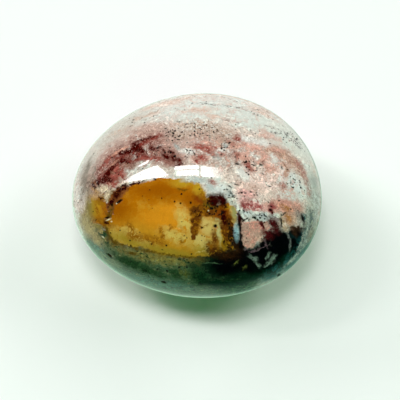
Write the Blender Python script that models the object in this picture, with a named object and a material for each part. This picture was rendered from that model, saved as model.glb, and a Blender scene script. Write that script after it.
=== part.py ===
"""An ocean jasper palm stone: one tumbled and polished pebble that fills a closed hand.

It is a thick oval that no mould made: a little fuller at three places round its girdle and
flatter between them, with soft shoulders, and a small flat spot under it where it rests.
It is in metres, +Z is up, and the origin is on the flat spot, under the middle of the stone.
"""

import math

import bmesh
import bpy
from mathutils import Matrix, Vector

# Driving dimensions, in metres
LENGTH = 0.065  # along X, the long way across the palm
WIDTH = 0.0585  # along Y
HEIGHT = 0.036  # from the flat spot up to the crown
FLAT_CUT = 0.0005  # how deep the underside is ground away, which makes the flat spot

# How the pebble departs from an ellipsoid, as shares of its radius
SHOULDER = 0.02  # fuller half way between the girdle and the crown
TREFOIL = 0.021  # fuller at three places round the girdle, flatter between them
TREFOIL_TURN = math.radians(68)  # where the first full place is, from +X towards +Y
PLAN_TURN = math.radians(2)  # the oval lies a little askew

# The mesh: each step makes four triangles of one, and the fifth leaves edges of 2 mm
ROUNDS_OF_SPLITTING = 5
SHORTEST_RIM_EDGE = 0.0004  # shorter ones round the flat spot are merged away

COLLECTION = "ocean_jasper_palm_stone"
STONE = "palm_stone"
STONE_COLOUR = (0.52, 0.40, 0.33, 1.0)  # what its pink, grey, amber and green come to together
STONE_ROUGHNESS = 0.08


def clear_scene():
    for thing in list(bpy.data.objects):
        bpy.data.objects.remove(thing, do_unlink=True)


def swelling(direction):
    """The pebble's radius in a direction of the unit sphere, where an ellipsoid has 1."""
    x, y, z = direction
    ring = math.hypot(x, y)
    bearing = math.atan2(y, x)
    shoulder = 4 * ring**2 * z**2  # 1 at half height, 0 at the girdle and the crown
    lobes = ring**3 * math.cos(3 * (bearing - TREFOIL_TURN))
    return 1 + SHOULDER * shoulder + TREFOIL * lobes


def shape_pebble(pebble):
    """Pulls a ball of radius 1 into the uncut pebble."""
    half_size = Vector((LENGTH / 2, WIDTH / 2, (HEIGHT + FLAT_CUT) / 2))
    for point in pebble.verts:
        direction = point.co.normalized()
        point.co = direction * half_size * swelling(direction)
    bmesh.ops.rotate(pebble, verts=pebble.verts, matrix=Matrix.Rotation(PLAN_TURN, 3, "Z"))


def grind_flat(pebble):
    """Cuts the flat spot that the stone rests on, and closes the cut."""
    level = min(point.co.z for point in pebble.verts) + FLAT_CUT
    cut = bmesh.ops.bisect_plane(
        pebble,
        geom=pebble.verts[:] + pebble.edges[:] + pebble.faces[:],
        dist=SHORTEST_RIM_EDGE / 100,
        plane_co=(0, 0, level),
        plane_no=(0, 0, 1),
        clear_inner=True,
    )
    rim_points = [item for item in cut["geom_cut"] if isinstance(item, bmesh.types.BMVert)]
    bmesh.ops.remove_doubles(pebble, verts=rim_points, dist=SHORTEST_RIM_EDGE)
    rim = [edge for edge in pebble.edges if edge.is_boundary]
    bmesh.ops.contextual_create(pebble, geom=rim)
    bmesh.ops.recalc_face_normals(pebble, faces=pebble.faces)


def fit_to_size(pebble):
    """Brings the ground stone to its exact length, width and height, with its base at zero."""
    low = Vector([min(point.co[axis] for point in pebble.verts) for axis in range(3)])
    high = Vector([max(point.co[axis] for point in pebble.verts) for axis in range(3)])
    base_middle = Vector(((low.x + high.x) / 2, (low.y + high.y) / 2, low.z))
    size = Vector((LENGTH, WIDTH, HEIGHT))
    for point in pebble.verts:
        for axis in range(3):
            share = (point.co[axis] - base_middle[axis]) / (high[axis] - low[axis])
            point.co[axis] = share * size[axis]


def stone_material():
    material = bpy.data.materials.new(STONE)
    material.use_nodes = True
    shader = material.node_tree.nodes["Principled BSDF"]
    shader.inputs["Base Color"].default_value = STONE_COLOUR
    shader.inputs["Roughness"].default_value = STONE_ROUGHNESS
    shader.inputs["Metallic"].default_value = 0.0
    return material


def make_stone(collection):
    pebble = bmesh.new()
    bmesh.ops.create_icosphere(pebble, subdivisions=ROUNDS_OF_SPLITTING, radius=1.0)
    shape_pebble(pebble)
    grind_flat(pebble)
    fit_to_size(pebble)
    mesh = bpy.data.meshes.new(STONE)
    pebble.to_mesh(mesh)
    pebble.free()
    mesh.shade_smooth()
    mesh.set_sharp_from_angle(angle=math.radians(30))
    stone = bpy.data.objects.new(STONE, mesh)
    stone.data.materials.append(stone_material())
    collection.objects.link(stone)


def main():
    clear_scene()
    collection = bpy.data.collections.new(COLLECTION)
    bpy.context.scene.collection.children.link(collection)
    make_stone(collection)


main()
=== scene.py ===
# %% [markdown]
# Ocean jasper palm stone
#
# One pebble of polished rock on a pale table. The real one was sawn from a lump, tumbled for
# weeks and polished until it looks wet, so two things make it: a very even surface with a sharp
# gloss, and the rock's own pattern of amber, pink, maroon, grey-green and near-black minerals.
# This notebook starts from the plain solid of the stone, which is already the right size.

# %% Load the plain solid
import math

import bpy
import numpy as np
from mathutils import Matrix, Vector


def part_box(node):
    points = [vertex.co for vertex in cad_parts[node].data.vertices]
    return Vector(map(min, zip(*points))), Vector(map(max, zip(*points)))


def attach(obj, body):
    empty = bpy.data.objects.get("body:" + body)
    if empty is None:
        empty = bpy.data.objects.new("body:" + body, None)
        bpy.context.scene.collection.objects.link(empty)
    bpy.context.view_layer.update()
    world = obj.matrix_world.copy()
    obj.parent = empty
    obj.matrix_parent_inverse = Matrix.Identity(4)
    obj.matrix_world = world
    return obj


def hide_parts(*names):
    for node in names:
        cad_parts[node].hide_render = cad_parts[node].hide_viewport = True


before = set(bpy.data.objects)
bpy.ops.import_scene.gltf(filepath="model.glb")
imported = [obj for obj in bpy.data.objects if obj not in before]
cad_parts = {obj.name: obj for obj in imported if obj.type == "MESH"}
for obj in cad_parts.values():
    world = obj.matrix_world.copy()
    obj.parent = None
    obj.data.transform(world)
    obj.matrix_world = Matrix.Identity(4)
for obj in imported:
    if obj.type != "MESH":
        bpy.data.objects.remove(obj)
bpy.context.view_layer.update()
STONE_LOW, STONE_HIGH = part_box("palm_stone")
STONE_MIDDLE = (STONE_LOW + STONE_HIGH) / 2
STONE_SIZE = STONE_HIGH - STONE_LOW
MM = 0.001
print("the stone measures", [round(side / MM, 1) for side in STONE_SIZE], "mm")

# %% [markdown]
# The camera
#
# The stone is photographed from the front and well above, with a long lens, so that its far side
# is hardly smaller than its near side. The camera comes first because the markings further down
# are placed by where they show in its picture.

# %% Place the camera
PICTURE = 400  # pixels along each side
SENSOR = 36.0  # millimetres
LENS = 145.15
CAMERA_RISE = math.radians(57)  # above the table
CAMERA_DISTANCE = 0.42
AIM = Vector((0.81, -2.22, 18.0)) * MM

camera = bpy.data.objects.new("camera", bpy.data.cameras.new("camera"))
bpy.context.scene.collection.objects.link(camera)
camera.data.sensor_width = SENSOR
camera.data.lens = LENS
camera.data.clip_start = 0.05
camera.location = AIM + CAMERA_DISTANCE * Vector((0, -math.cos(CAMERA_RISE), math.sin(CAMERA_RISE)))
camera.rotation_euler = (math.pi / 2 - CAMERA_RISE, 0, 0)
bpy.context.scene.camera = camera
bpy.context.view_layer.update()
print("the camera is", round(camera.location.z, 3), "m above the table")


def sight_line(pixel):
    """The direction from the camera through a pixel of the picture."""
    x, y = pixel
    share = Vector((x - PICTURE / 2, PICTURE / 2 - y, 0)) * SENSOR / PICTURE
    return (camera.matrix_world.to_3x3() @ (share + Vector((0, 0, -LENS)))).normalized()


# %% [markdown]
# Shader maths
#
# A finish is a tree of small nodes. Wiring them one by one hides what they compute, so this class
# wraps one output of a node. Arithmetic on it adds Math nodes, and `make` adds any other node.

# %% Wrap a node's output
class Wire:
    """One output of a shader node, which can be used in Python expressions."""

    def __init__(self, socket):
        self.socket = socket

    def make(self, kind, settings=None, inputs=None, output=0):
        """Adds a node to the same tree: its settings first, then its sockets' values or links."""
        tree = self.socket.id_data
        node = tree.nodes.new(kind)
        for name, value in (settings or {}).items():
            setattr(node, name, value)
        for name, value in (inputs or {}).items():
            if isinstance(value, Wire):
                tree.links.new(value.socket, node.inputs[name])
            else:
                node.inputs[name].default_value = value
        return node if output is None else Wire(node.outputs[output])

    def math(self, operation, *values):
        return self.make("ShaderNodeMath", {"operation": operation}, dict(enumerate(values)))

    def size(self):
        return self.math("ABSOLUTE", self)

    def part(self, axis):
        return self.make("ShaderNodeSeparateXYZ", inputs={"Vector": self}, output=axis)

    def __add__(self, other):
        return self.math("ADD", self, other)

    def __sub__(self, other):
        return self.math("SUBTRACT", self, other)

    def __mul__(self, other):
        return self.math("MULTIPLY", self, other)


# %% [markdown]
# The room
#
# A polished stone shows whatever it faces as a veil over its colour, so the room is chosen for its
# mirror image. It is pale low down on the far side, which gives the haze on the stone's far rim,
# and dark overhead and on the near side, which keeps the amber and the near-black deep. The pale
# table mirrors in the sides and, straight below, as a light line along the foot of the stone, which
# turns dim and green on the right, over the shadow. The table itself is kept out of the gloss, and
# the lower half of the room is painted like it instead, so that its near side can be as dark as it
# is in the real stone's gloss.

# %% Make the table
TABLE_HALF = 4.0
TABLE_COLOUR = (0.8, 0.8, 0.8, 1)
TABLE_ROUGHNESS = 0.9

bpy.ops.mesh.primitive_plane_add(size=2 * TABLE_HALF, location=(0, 0, 0))
table = bpy.context.object
table.name = "table"
table.visible_glossy = False
table_finish = bpy.data.materials.new("table_white")
table_finish.use_nodes = True
table_shader = table_finish.node_tree.nodes["Principled BSDF"]
table_shader.inputs["Base Color"].default_value = TABLE_COLOUR
table_shader.inputs["Roughness"].default_value = TABLE_ROUGHNESS
table_shader.inputs["Specular IOR Level"].default_value = 0.0
table.data.materials.append(table_finish)
print("the table is", 2 * TABLE_HALF, "m wide")

# %% Paint the room
DARK_SIDE = (0.0, 0.01, 0.005)
FAR_SIDE = (0.55, 0.64, 0.57)
TABLE_SIDES = (0.8, 0.88, 0.8)
TABLE_BELOW = (0.65, 1.02, 0.75)
TABLE_SHADED = (0.2, 0.42, 0.3)

room = bpy.data.worlds.new("room")
room.use_nodes = True
bpy.context.scene.world = room
toward = Wire(room.node_tree.nodes.new("ShaderNodeTexCoord").outputs["Generated"])
height = toward.part("Z")
depth = toward.part("Y")
side = toward.part("X")


def ramp(value, low, high):
    """Climbs softly from 0 where the value is low to 1 where it is high."""
    return value.make(
        "ShaderNodeMapRange",
        {"interpolation_type": "SMOOTHSTEP"},
        {"Value": value, "From Min": low, "From Max": high},
    )


def blend(share, under, over, way="MIX"):
    """The colour under, turned into the colour over by a share, or else multiplied by it."""
    under, over = [side if isinstance(side, Wire) else (*side, 1) for side in (under, over)]
    settings = {"data_type": "RGBA", "blend_type": way}
    return share.make("ShaderNodeMix", settings, {0: share, 6: under, 7: over}, output=2)


walls = blend(ramp(height, 0.45, 0.08) * ramp(depth, 0.0, 0.5), DARK_SIDE, FAR_SIDE)
out_of_shadow = depth - ramp(side, 0.3, 0.8) * 0.4
table_sides = blend(ramp(out_of_shadow, -0.55, -0.1), DARK_SIDE, TABLE_SIDES)
table_below = blend(ramp(side, 0.0, 0.2), TABLE_BELOW, TABLE_SHADED)
table_mirror = blend(ramp(height, -0.5, -0.85), table_sides, table_below)
room_colour = blend(ramp(height, 0.10, -0.22), walls, table_mirror)
room.node_tree.links.new(room_colour.socket, room.node_tree.nodes["Background"].inputs["Color"])
bpy.context.scene.view_settings.view_transform = "Standard"
print("the far side is", FAR_SIDE, "and the near side", DARK_SIDE)

# %% [markdown]
# The lights
#
# The shadow is short and hugs the stone, so most of the light comes from soft boxes nearly straight
# above, with more to the left, to the right and behind that set how the table brightens outwards.
# A green fill stands for the light that has bounced off the surroundings into the shadow. The
# bright arch on the crown comes from somewhere else: it is the reflection of a bank of soft panels
# over the far side of the table. Its shape in the gloss tells where they are, so each panel is
# drawn on a level ceiling by its corners, counted in shares of the ceiling's height. Thin gaps
# between panels show as the fine dark lines in the gloss, and the glow fades out towards both ends
# of the bank. The soft boxes are kept out of the gloss, and the panels out of the shading, so that
# each can be set on its own.

# %% Hang the soft boxes
CEILING = 2.0
FILL_GREEN = (0.06, 1.0, 0.25)  # light that has bounced off the green-tinted surroundings


def hang_soft_box(name, left, right, near, far, watts, colour=(1, 1, 1)):
    """A soft box on the ceiling, its sides in shares of the ceiling's height."""
    box = bpy.data.objects.new(name, bpy.data.lights.new(name, "AREA"))
    box.data.shape = "RECTANGLE"
    box.data.color = colour
    box.data.size = (right - left) * CEILING
    box.data.size_y = (far - near) * CEILING
    box.data.energy = watts
    box.location = Vector(((left + right) / 2, (near + far) / 2, 1)) * CEILING
    box.visible_glossy = False
    bpy.context.scene.collection.objects.link(box)
    print(name, "is", round(box.data.size, 2), "by", round(box.data.size_y, 2), "m")


hang_soft_box("overhead_box", -0.20, 0.10, -0.28, 0.05, 17.5)
hang_soft_box("overhead_left_box", -0.70, -0.20, -0.10, 0.05, 8.0)
hang_soft_box("left_box", -1.2, -0.7, 0.05, 0.25, 20.0)
hang_soft_box("far_left_box", -2.2, -1.2, 0.4, 1.6, 125.0)
hang_soft_box("right_box", 0.9, 1.5, -0.1, 1.3, 69.0)
hang_soft_box("far_box", -0.7, 0.9, 1.5, 2.6, 80.0)
hang_soft_box("green_fill", -0.6, 2.6, -2.6, -1.2, 110.0, FILL_GREEN)

# %% Hang the panels
PANEL_GLOW = 20.0
LEFT_FADE = (-1.05 * CEILING, -0.50 * CEILING)
RIGHT_FADE = (0.23 * CEILING, 0.01 * CEILING)
PANELS = {
    "left_panel": [
        (-0.36, 0.57), (-0.25, 0.39), (-0.30, 0.36), (-0.80, 0.41),
        (-1.20, 0.38), (-1.15, 0.43), (-0.75, 0.48),
    ],
    "left_far_panel": [(-0.47, 0.71), (-0.47, 0.65), (-0.60, 0.63), (-0.60, 0.66)],
    "middle_panel": [(-0.005, 0.44), (-0.005, 0.37), (-0.175, 0.37), (-0.175, 0.44)],
    "middle_far_panel": [(-0.005, 0.51), (-0.005, 0.455), (-0.195, 0.455), (-0.195, 0.51)],
    "right_panel": [(0.24, 0.48), (0.24, 0.33), (0.01, 0.36), (0.01, 0.50)],
}

panel_glow = bpy.data.materials.new("panel_glow")
panel_glow.use_nodes = True
panel_glow.node_tree.nodes.clear()
panel_place = Wire(panel_glow.node_tree.nodes.new("ShaderNodeTexCoord").outputs["Object"])
across = panel_place.part("X")
lit = across.make("ShaderNodeEmission", inputs={"Strength": PANEL_GLOW})
unlit = across.make("ShaderNodeBsdfTransparent")
glowing = ramp(across, *LEFT_FADE) * ramp(across, *RIGHT_FADE)
panel_mix = glowing.make("ShaderNodeMixShader", inputs={0: glowing, 1: unlit, 2: lit})
panel_mix.make("ShaderNodeOutputMaterial", inputs={"Surface": panel_mix}, output=None)


def hang_panel(name, corners):
    """A glowing sheet on the ceiling that only the gloss sees."""
    mesh = bpy.data.meshes.new(name)
    points = [(x * CEILING, y * CEILING, CEILING) for x, y in corners]
    mesh.from_pydata(points, [], [tuple(range(len(points)))])
    mesh.materials.append(panel_glow)
    panel = bpy.data.objects.new(name, mesh)
    bpy.context.scene.collection.objects.link(panel)
    panel.visible_camera = False
    panel.visible_diffuse = False


for name, corners in PANELS.items():
    hang_panel(name, corners)
print(len(PANELS), "panels hang", CEILING, "m above the table")

# %% [markdown]
# The pebble's surface
#
# Tumbling rounds a stone evenly, so its surface is far smoother than the facets of the plain
# solid. The fine one starts as a ball with half-millimetre faces, is pulled onto a softened copy of
# the solid, and is then smoothed until no facet shows in the gloss.

# %% Wrap a fine ball onto the solid
GUIDE_ROUNDS = 2  # of splitting the plain solid's copy
FINE_ROUNDS = 7  # of splitting the ball
SMOOTH_ROUNDS = 24
SAME_PLACE = 1e-6  # points closer than this are one


def only(piece):
    """Leaves one object selected and active."""
    bpy.ops.object.select_all(action="DESELECT")
    piece.select_set(True)
    bpy.context.view_layer.objects.active = piece


def apply_modifier(piece, kind, **settings):
    """Gives an object a modifier with these settings, and makes its result the shape."""
    modifier = piece.modifiers.new(kind.lower(), kind)
    for name, value in settings.items():
        setattr(modifier, name, value)
    only(piece)
    bpy.ops.object.modifier_apply(modifier=modifier.name)


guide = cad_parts["palm_stone"].copy()
guide.data = guide.data.copy()
guide.name = "guide"
bpy.context.scene.collection.objects.link(guide)
only(guide)
bpy.ops.object.mode_set(mode="EDIT")
bpy.ops.mesh.select_all(action="SELECT")
bpy.ops.mesh.remove_doubles(threshold=SAME_PLACE)
bpy.ops.object.mode_set(mode="OBJECT")
apply_modifier(guide, "SUBSURF", levels=GUIDE_ROUNDS, render_levels=GUIDE_ROUNDS)

bpy.ops.object.select_all(action="DESELECT")
bpy.ops.mesh.primitive_ico_sphere_add(subdivisions=FINE_ROUNDS, radius=0.5, location=STONE_MIDDLE)
stone = bpy.context.object
stone.name = "polished_stone"
bpy.ops.object.mode_set(mode="EDIT")
bpy.ops.mesh.select_all(action="SELECT")
bpy.ops.transform.resize(value=STONE_SIZE, center_override=STONE_MIDDLE)
bpy.ops.object.mode_set(mode="OBJECT")
bpy.ops.object.transform_apply(location=True, rotation=True, scale=True)
apply_modifier(stone, "SHRINKWRAP", target=guide, wrap_method="NEAREST_SURFACEPOINT")
apply_modifier(stone, "SMOOTH", factor=0.5, iterations=SMOOTH_ROUNDS)
bpy.data.objects.remove(guide)
bpy.ops.object.shade_smooth()
print("the fine stone has", len(stone.data.polygons), "faces")

# %% Stand it on the table at its full size
low = Vector([min(v.co[axis] for v in stone.data.vertices) for axis in range(3)])
high = Vector([max(v.co[axis] for v in stone.data.vertices) for axis in range(3)])
grow = Vector([STONE_SIZE[axis] / (high[axis] - low[axis]) for axis in range(3)])
stone.data.transform(
    Matrix.Translation(STONE_MIDDLE)
    @ Matrix.Diagonal(grow).to_4x4()
    @ Matrix.Translation(-(low + high) / 2)
)
print("smoothing had shrunk it by", [round((g - 1) * 100, 2) for g in grow], "percent")

# %% [markdown]
# Finding a place on the stone
#
# The minerals are bodies inside the rock that the polish has cut through. Each is an ellipsoid whose
# middle lies on the surface, so a colour reaches into the stone as in real rock, and the pattern
# has no seams on any side, as a picture wrapped round the stone would. A body is named by the pixel
# where its middle shows in the picture, how far it reaches to the right and down from there, and how
# wide it is to either side, in pixels. Its place on the stone is then worked out by sending the line
# of sight through that pixel.

# %% Turn pixels into bodies of mineral
STEEPEST = 0.35  # where the surface turns away more than this, a body isn't stretched further
MM_PER_METRE = 1000


def surface_at(pixel):
    """The point of the stone that shows at a pixel, and the way the surface faces there."""
    found, point, normal, face = stone.ray_cast(camera.location, sight_line(pixel))
    if not found:
        raise ValueError(f"pixel {pixel} misses the stone")
    return point, normal


def body(x, y, right, down, width, depth=1.0):
    """The place, turn and size of an ellipsoid of mineral, in millimetres."""
    point, normal = surface_at((x, y))
    sight = sight_line((x, y))
    pixel_size = (point - camera.location).length * SENSOR / LENS / PICTURE
    turned_away = min(sight.dot(normal), -STEEPEST)

    def on_surface(across, along):
        step = camera.matrix_world.to_3x3() @ Vector((across, -along, 0)) * pixel_size
        return step - sight * (step.dot(normal) / turned_away)

    share = width / math.hypot(right, down)
    long_way = on_surface(right, down)
    short_way = on_surface(-down * share, right * share)
    inward = normal * max(long_way.length, short_way.length) * depth
    span = np.array([long_way, short_way, inward]).T * MM_PER_METRE
    squares, axes = np.linalg.eigh(span @ span.T)
    if np.linalg.det(axes) < 0:
        axes[:, 0] *= -1
    turn = Matrix(axes.tolist()).to_euler()
    return point * MM_PER_METRE, turn, Vector(np.sqrt(squares))


print("the middle of the picture shows the stone at", surface_at((200, 200))[0])

# %% [markdown]
# Pits
#
# The polish has not closed everything. A few hollows about a millimetre long stay open: two slots
# by the dark edge of the amber, a round hole in its pale end, and four more along the foot. Dark
# spots alone wouldn't catch the light on one wall, so these are true hollows: the faces around each
# are split finer, and the middle ones are then pushed in.

# %% Sink the pits
PIT_DEPTH = 0.3 * MM
FINER_CUTS = 3
FINER_OUT_TO = 2.5  # times a pit's size
PIT_RIM = 1.1  # times a pit's size
PIT_WALL = 0.6  # how much further in a pit is at its full depth
PITS = [
    (119.5, 201.6, 3.4, -2.6, 1.4), (107.5, 217.6, 3.2, -1, 1.2), (215.2, 226.3, 2.3, 0, 2.3),
    (109.8, 255.2, 2.8, 2, 1.2), (167, 271, 1.8, 0.8, 1.2), (164, 282, 3, 0.6, 1.2),
    (278.5, 274.5, 2.2, -1.4, 2),
]
hollows = [body(*pit) for pit in PITS]


def shares_out():
    """How far each vertex is from the middle of the closest hollow, as a share of its size."""
    places = np.array([v.co for v in stone.data.vertices]) * MM_PER_METRE
    shares = []
    for point, turn, size in hollows:
        steps = (places - np.array(point)) @ np.array(turn.to_matrix()) / np.array(size)
        shares.append(np.linalg.norm(steps, axis=1))
    return np.min(shares, axis=0)


only(stone)
bpy.ops.object.mode_set(mode="EDIT")
bpy.ops.mesh.select_all(action="DESELECT")
bpy.ops.object.mode_set(mode="OBJECT")
stone.data.vertices.foreach_set("select", shares_out() < FINER_OUT_TO)
bpy.ops.object.mode_set(mode="EDIT")
bpy.ops.mesh.subdivide(number_cuts=FINER_CUTS, smoothness=1.0)
bpy.ops.object.mode_set(mode="OBJECT")

pit_group = stone.vertex_groups.new(name="pits")
inside = np.clip((PIT_RIM - shares_out()) / PIT_WALL, 0, 1)
for index in np.flatnonzero(inside):
    pit_group.add([int(index)], float(inside[index]), "REPLACE")
apply_modifier(
    stone, "DISPLACE", direction="NORMAL", strength=-PIT_DEPTH, mid_level=0, vertex_group=pit_group.name
)
print(len(PITS), "pits are sunk, and the stone has", len(stone.data.polygons), "faces")

# %% [markdown]
# Painting with bodies
#
# `spread` says how deep inside a group of bodies a place is, by a spherical gradient for each.
# `paint` lays colours one over another and takes a row for each: the colour, its bodies, the place
# that they are measured from and how soft their edges are. A row that ends in noise and two numbers
# is laid only where the noise has passed from the first number towards the second. Straight
# ellipsoids would look drawn, so the place that they are measured from is first pushed about by
# noise: a little for the amber, whose edges are smooth, and a lot for the pink and the black.

# %% Write the painting helpers
VEIN_REACH = 0.65  # times the way between two pixels, so that its bodies overlap
STREAK_DEPTH = 0.5  # of a body's long reach, which keeps it between the long and the short one


def seen_from(place, point, turn, size):
    """The place, measured from a point along turned axes, in shares of a size."""
    return place.make(
        "ShaderNodeMapping",
        {"vector_type": "TEXTURE"},
        {"Vector": place, "Location": point, "Rotation": turn, "Scale": size},
    )


def spread(place, bodies):
    """How deep a place is: 1 in the middle of a body, a half at its skin, 0 twice as far out."""
    deepest = None
    for numbers in bodies:
        point, turn, size = body(*numbers)
        centred = seen_from(place, point, turn, size * 2)
        kind = {"gradient_type": "SPHERICAL"}
        deep = centred.make("ShaderNodeTexGradient", kind, {"Vector": centred}, "Fac")
        deepest = deep if deepest is None else deep.math("MAXIMUM", deepest, deep)
    return deepest


def noise(place, size, detail=2.0, roughness=0.5, output="Fac"):
    """Noise whose lumps are so many millimetres apart."""
    return place.make(
        "ShaderNodeTexNoise",
        inputs={"Vector": place, "Scale": 1 / size, "Detail": detail, "Roughness": roughness},
        output=output,
    )


def push(place, size, distance, detail=2.0):
    """The place, pushed about by noise with lumps of a size, by up to about a distance."""
    lumps = noise(place, size, detail, output="Color")
    centred = lumps.make("ShaderNodeVectorMath", {"operation": "SUBTRACT"}, {0: lumps, 1: (0.5,) * 3})
    return place.make(
        "ShaderNodeVectorMath",
        {"operation": "MULTIPLY_ADD"},
        {0: centred, 1: (2 * distance,) * 3, 2: place},
    )


def drawn_out(place, numbers, squeeze, size, roughness):
    """Noise in streaks along a body, squeezed over its short way, its depth and its long way."""
    point, turn, _ = body(*numbers, depth=STREAK_DEPTH)
    return noise(seen_from(place, point, turn, squeeze), size, 5.0, roughness)


def vein(width, *points):
    """The bodies of a vein of a width that runs through pixels."""
    return [
        ((x0 + x1) / 2, (y0 + y1) / 2, (x1 - x0) * VEIN_REACH, (y1 - y0) * VEIN_REACH, width)
        for (x0, y0), (x1, y1) in zip(points, points[1:])
    ]


def paint(under, *rows):
    """Lays the colours of the rows over the one under them."""
    for over, bodies, place, soft, *limits in rows:
        share = ramp(*limits) if limits else None
        there = ramp(spread(place, bodies), 0.5 - soft / 2, 0.5 + soft / 2)
        if share is not None:
            there = there * share
        under = blend(there, under, over)
    return under


# %% Start the finish
POLISH_ROUGHNESS = 0.04
CHALCEDONY_IOR = 1.54

finish = bpy.data.materials.new("polished_jasper")
finish.use_nodes = True
shader = finish.node_tree.nodes["Principled BSDF"]
shader.inputs["Roughness"].default_value = POLISH_ROUGHNESS
shader.inputs["IOR"].default_value = CHALCEDONY_IOR
stone.data.materials.clear()
stone.data.materials.append(finish)
print("the polish has a roughness of", POLISH_ROUGHNESS)

object_place = Wire(finish.node_tree.nodes.new("ShaderNodeTexCoord").outputs["Object"])
spot = object_place.make(
    "ShaderNodeVectorMath", {"operation": "SCALE"}, {0: object_place, "Scale": MM_PER_METRE}
)
grainy = push(spot, 0.7, 0.5, detail=3.0)
calm = push(grainy, 3.0, 0.9, detail=2.0)
ragged = push(grainy, 1.0, 0.8, detail=4.0)
frayed = push(grainy, 1.5, 1.7, detail=4.0)
torn = push(frayed, 5.0, 6.0, detail=3.0)
clouds = noise(torn, 6.0, 4.0, 0.55)
patches = noise(frayed, 1.5, 5.0, 0.62)
grains = noise(grainy, 0.5, 4.0, 0.7)
swirls = noise(torn, 2.4, 5.0, 0.6)
threads = (noise(torn, 1.3, 4.0, 0.55) - 0.5).size()

# %% [markdown]
# The ground
#
# Most of the rock is a cloudy chalcedony between white, grey-green and pink. Clouds of two sizes
# mix those three, and broad soft bodies shift the balance from side to side. Thin streaks of salmon
# and tan cross the crown. The side that the picture doesn't show is a guess: the same rock, with
# patches of mauve, rust and moss green.

# %% Paint the ground
PALE = (0.6, 0.61, 0.565)
SHELL_PINK = (0.61, 0.51, 0.455)
BLUSH = (0.58, 0.43, 0.37)
GREY_BEIGE = (0.48, 0.435, 0.375)
BRIGHT_PINK = (0.8, 0.58, 0.54)
FROST = (0.66, 0.66, 0.65)
MILKY_BROWN = (0.235, 0.165, 0.125)
RIM_PALE = (0.64, 0.63, 0.57)
CREAM = (0.6, 0.475, 0.34)

CROWN_PALE = [
    (207, 106, 40, 1, 9), (255, 120, 22, 9, 8), (192, 115, 16, 0, 5), (280, 138, 16, 14, 7),
]
LEFT_BEIGE = [(118, 130, 30, -24, 9), (90, 162, 8, -16, 8)]
LEFT_CREAM = [(104, 189, 6, 3, 6), (107, 196, 4, 4, 4.5), (123, 185, 5, -2, 3)]
RIGHT_BRIGHT = [(263, 184, 26, 2, 13), (282, 176, 14, 12, 9), (250, 172, 9, 3, 6)]
WHITE_PATCHES = [
    (294, 183, 7, 13, 8), (289, 196, 10, 2, 5), (218, 188, 9, 3, 6), (243, 171, 5, 5, 4),
    (262, 144, 8, 2, 3), (244, 139, 5, 3, 3), (273, 158, 5, 5, 3.5),
]
RIGHT_RIM = [(304, 150, 10, 12, 6), (315, 176, 5, 16, 5), (285, 128, 16, 8, 5)]

colour = blend(ramp(clouds, 0.42, 0.58), PALE, SHELL_PINK)
colour = blend(ramp(patches, 0.50, 0.66), colour, BLUSH)
colour = paint(
    colour,
    (PALE, CROWN_PALE, frayed, 0.8, patches, 0.62, 0.46),
    (GREY_BEIGE, LEFT_BEIGE, frayed, 0.8),
    (MILKY_BROWN, [(87, 184, 2, 16, 8), (99, 192, 6, 6, 5)], frayed, 0.8),
    (BRIGHT_PINK, RIGHT_BRIGHT, frayed, 0.8, patches, 0.66, 0.5),
    (RIM_PALE, RIGHT_RIM, frayed, 0.9),
    (FROST, WHITE_PATCHES, ragged, 0.7, patches, 0.64, 0.5),
)

# %% Stain the side that the picture doesn't show
HIDDEN_TILT = 0.246  # rise of the picture's horizon over the stone, for each millimetre backwards
HIDDEN_MAUVE = (0.3, 0.13, 0.1)
HIDDEN_RUST = (0.075, 0.008, 0.005)
HIDDEN_MOSS = (0.09, 0.12, 0.07)

backwards = spot.part("Y")
upwards = spot.part("Z")
horizon = backwards * HIDDEN_TILT + STONE_MIDDLE.z * MM_PER_METRE
hidden = ramp(horizon - upwards, 1.0, 6.0)
colour = blend(ramp(clouds, 0.55, 0.62) * hidden, colour, HIDDEN_MAUVE)
colour = blend(ramp(swirls, 0.58, 0.63) * ramp(clouds, 0.52, 0.60) * hidden, colour, HIDDEN_RUST)
colour = blend(ramp(clouds, 0.42, 0.36) * hidden, colour, HIDDEN_MOSS)
print("the hidden side starts", round(STONE_MIDDLE.z / MM, 1), "mm up at both ends of the stone")

# %% Add the pale streaks of the crown
PALE_SALMON = (0.6, 0.42, 0.34)
TAN = (0.51, 0.35, 0.27)

SALMON_RIM = [
    *vein(1.6, (146, 109), (158, 104), (170, 101.5), (184, 99), (193, 97)),
    *vein(1.3, (152, 106.5), (164, 104), (178, 102.5)),
]
FAR_PINK = [
    *vein(1.2, (195, 94), (218, 94.5), (240, 98), (262, 106), (280, 118)),
    (198, 110, 14, 0, 2.4), (213, 116, 8, 1, 2), (266, 115, 12, 6, 1.6), (315.5, 178, 2, 12, 2.2),
    *vein(1.3, (256, 108), (270, 112), (284, 120)),
]
TAN_STREAKS = [
    *vein(2, (112, 134), (127, 128)),
    *vein(1.6, (133, 120), (143, 117), (157, 112)),
    *vein(3, (132, 131), (148, 127), (163, 125)),
    *vein(3, (170, 125), (190, 123)),
    (203, 124, 12, 1.5, 4), (222, 131, 14, 5, 5),
]
colour = paint(
    colour,
    (PALE_SALMON, SALMON_RIM + FAR_PINK, frayed, 0.9, grains, 0.32, 0.52),
    (TAN, TAN_STREAKS, frayed, 0.9, grains, 0.36, 0.6),
)

# %% [markdown]
# The maroon band
#
# Iron has stained a broad band on the left, which runs up along the shoulder and fades towards the
# crown. It is made of thin streaks, so its noise is squeezed across the band.

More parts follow.
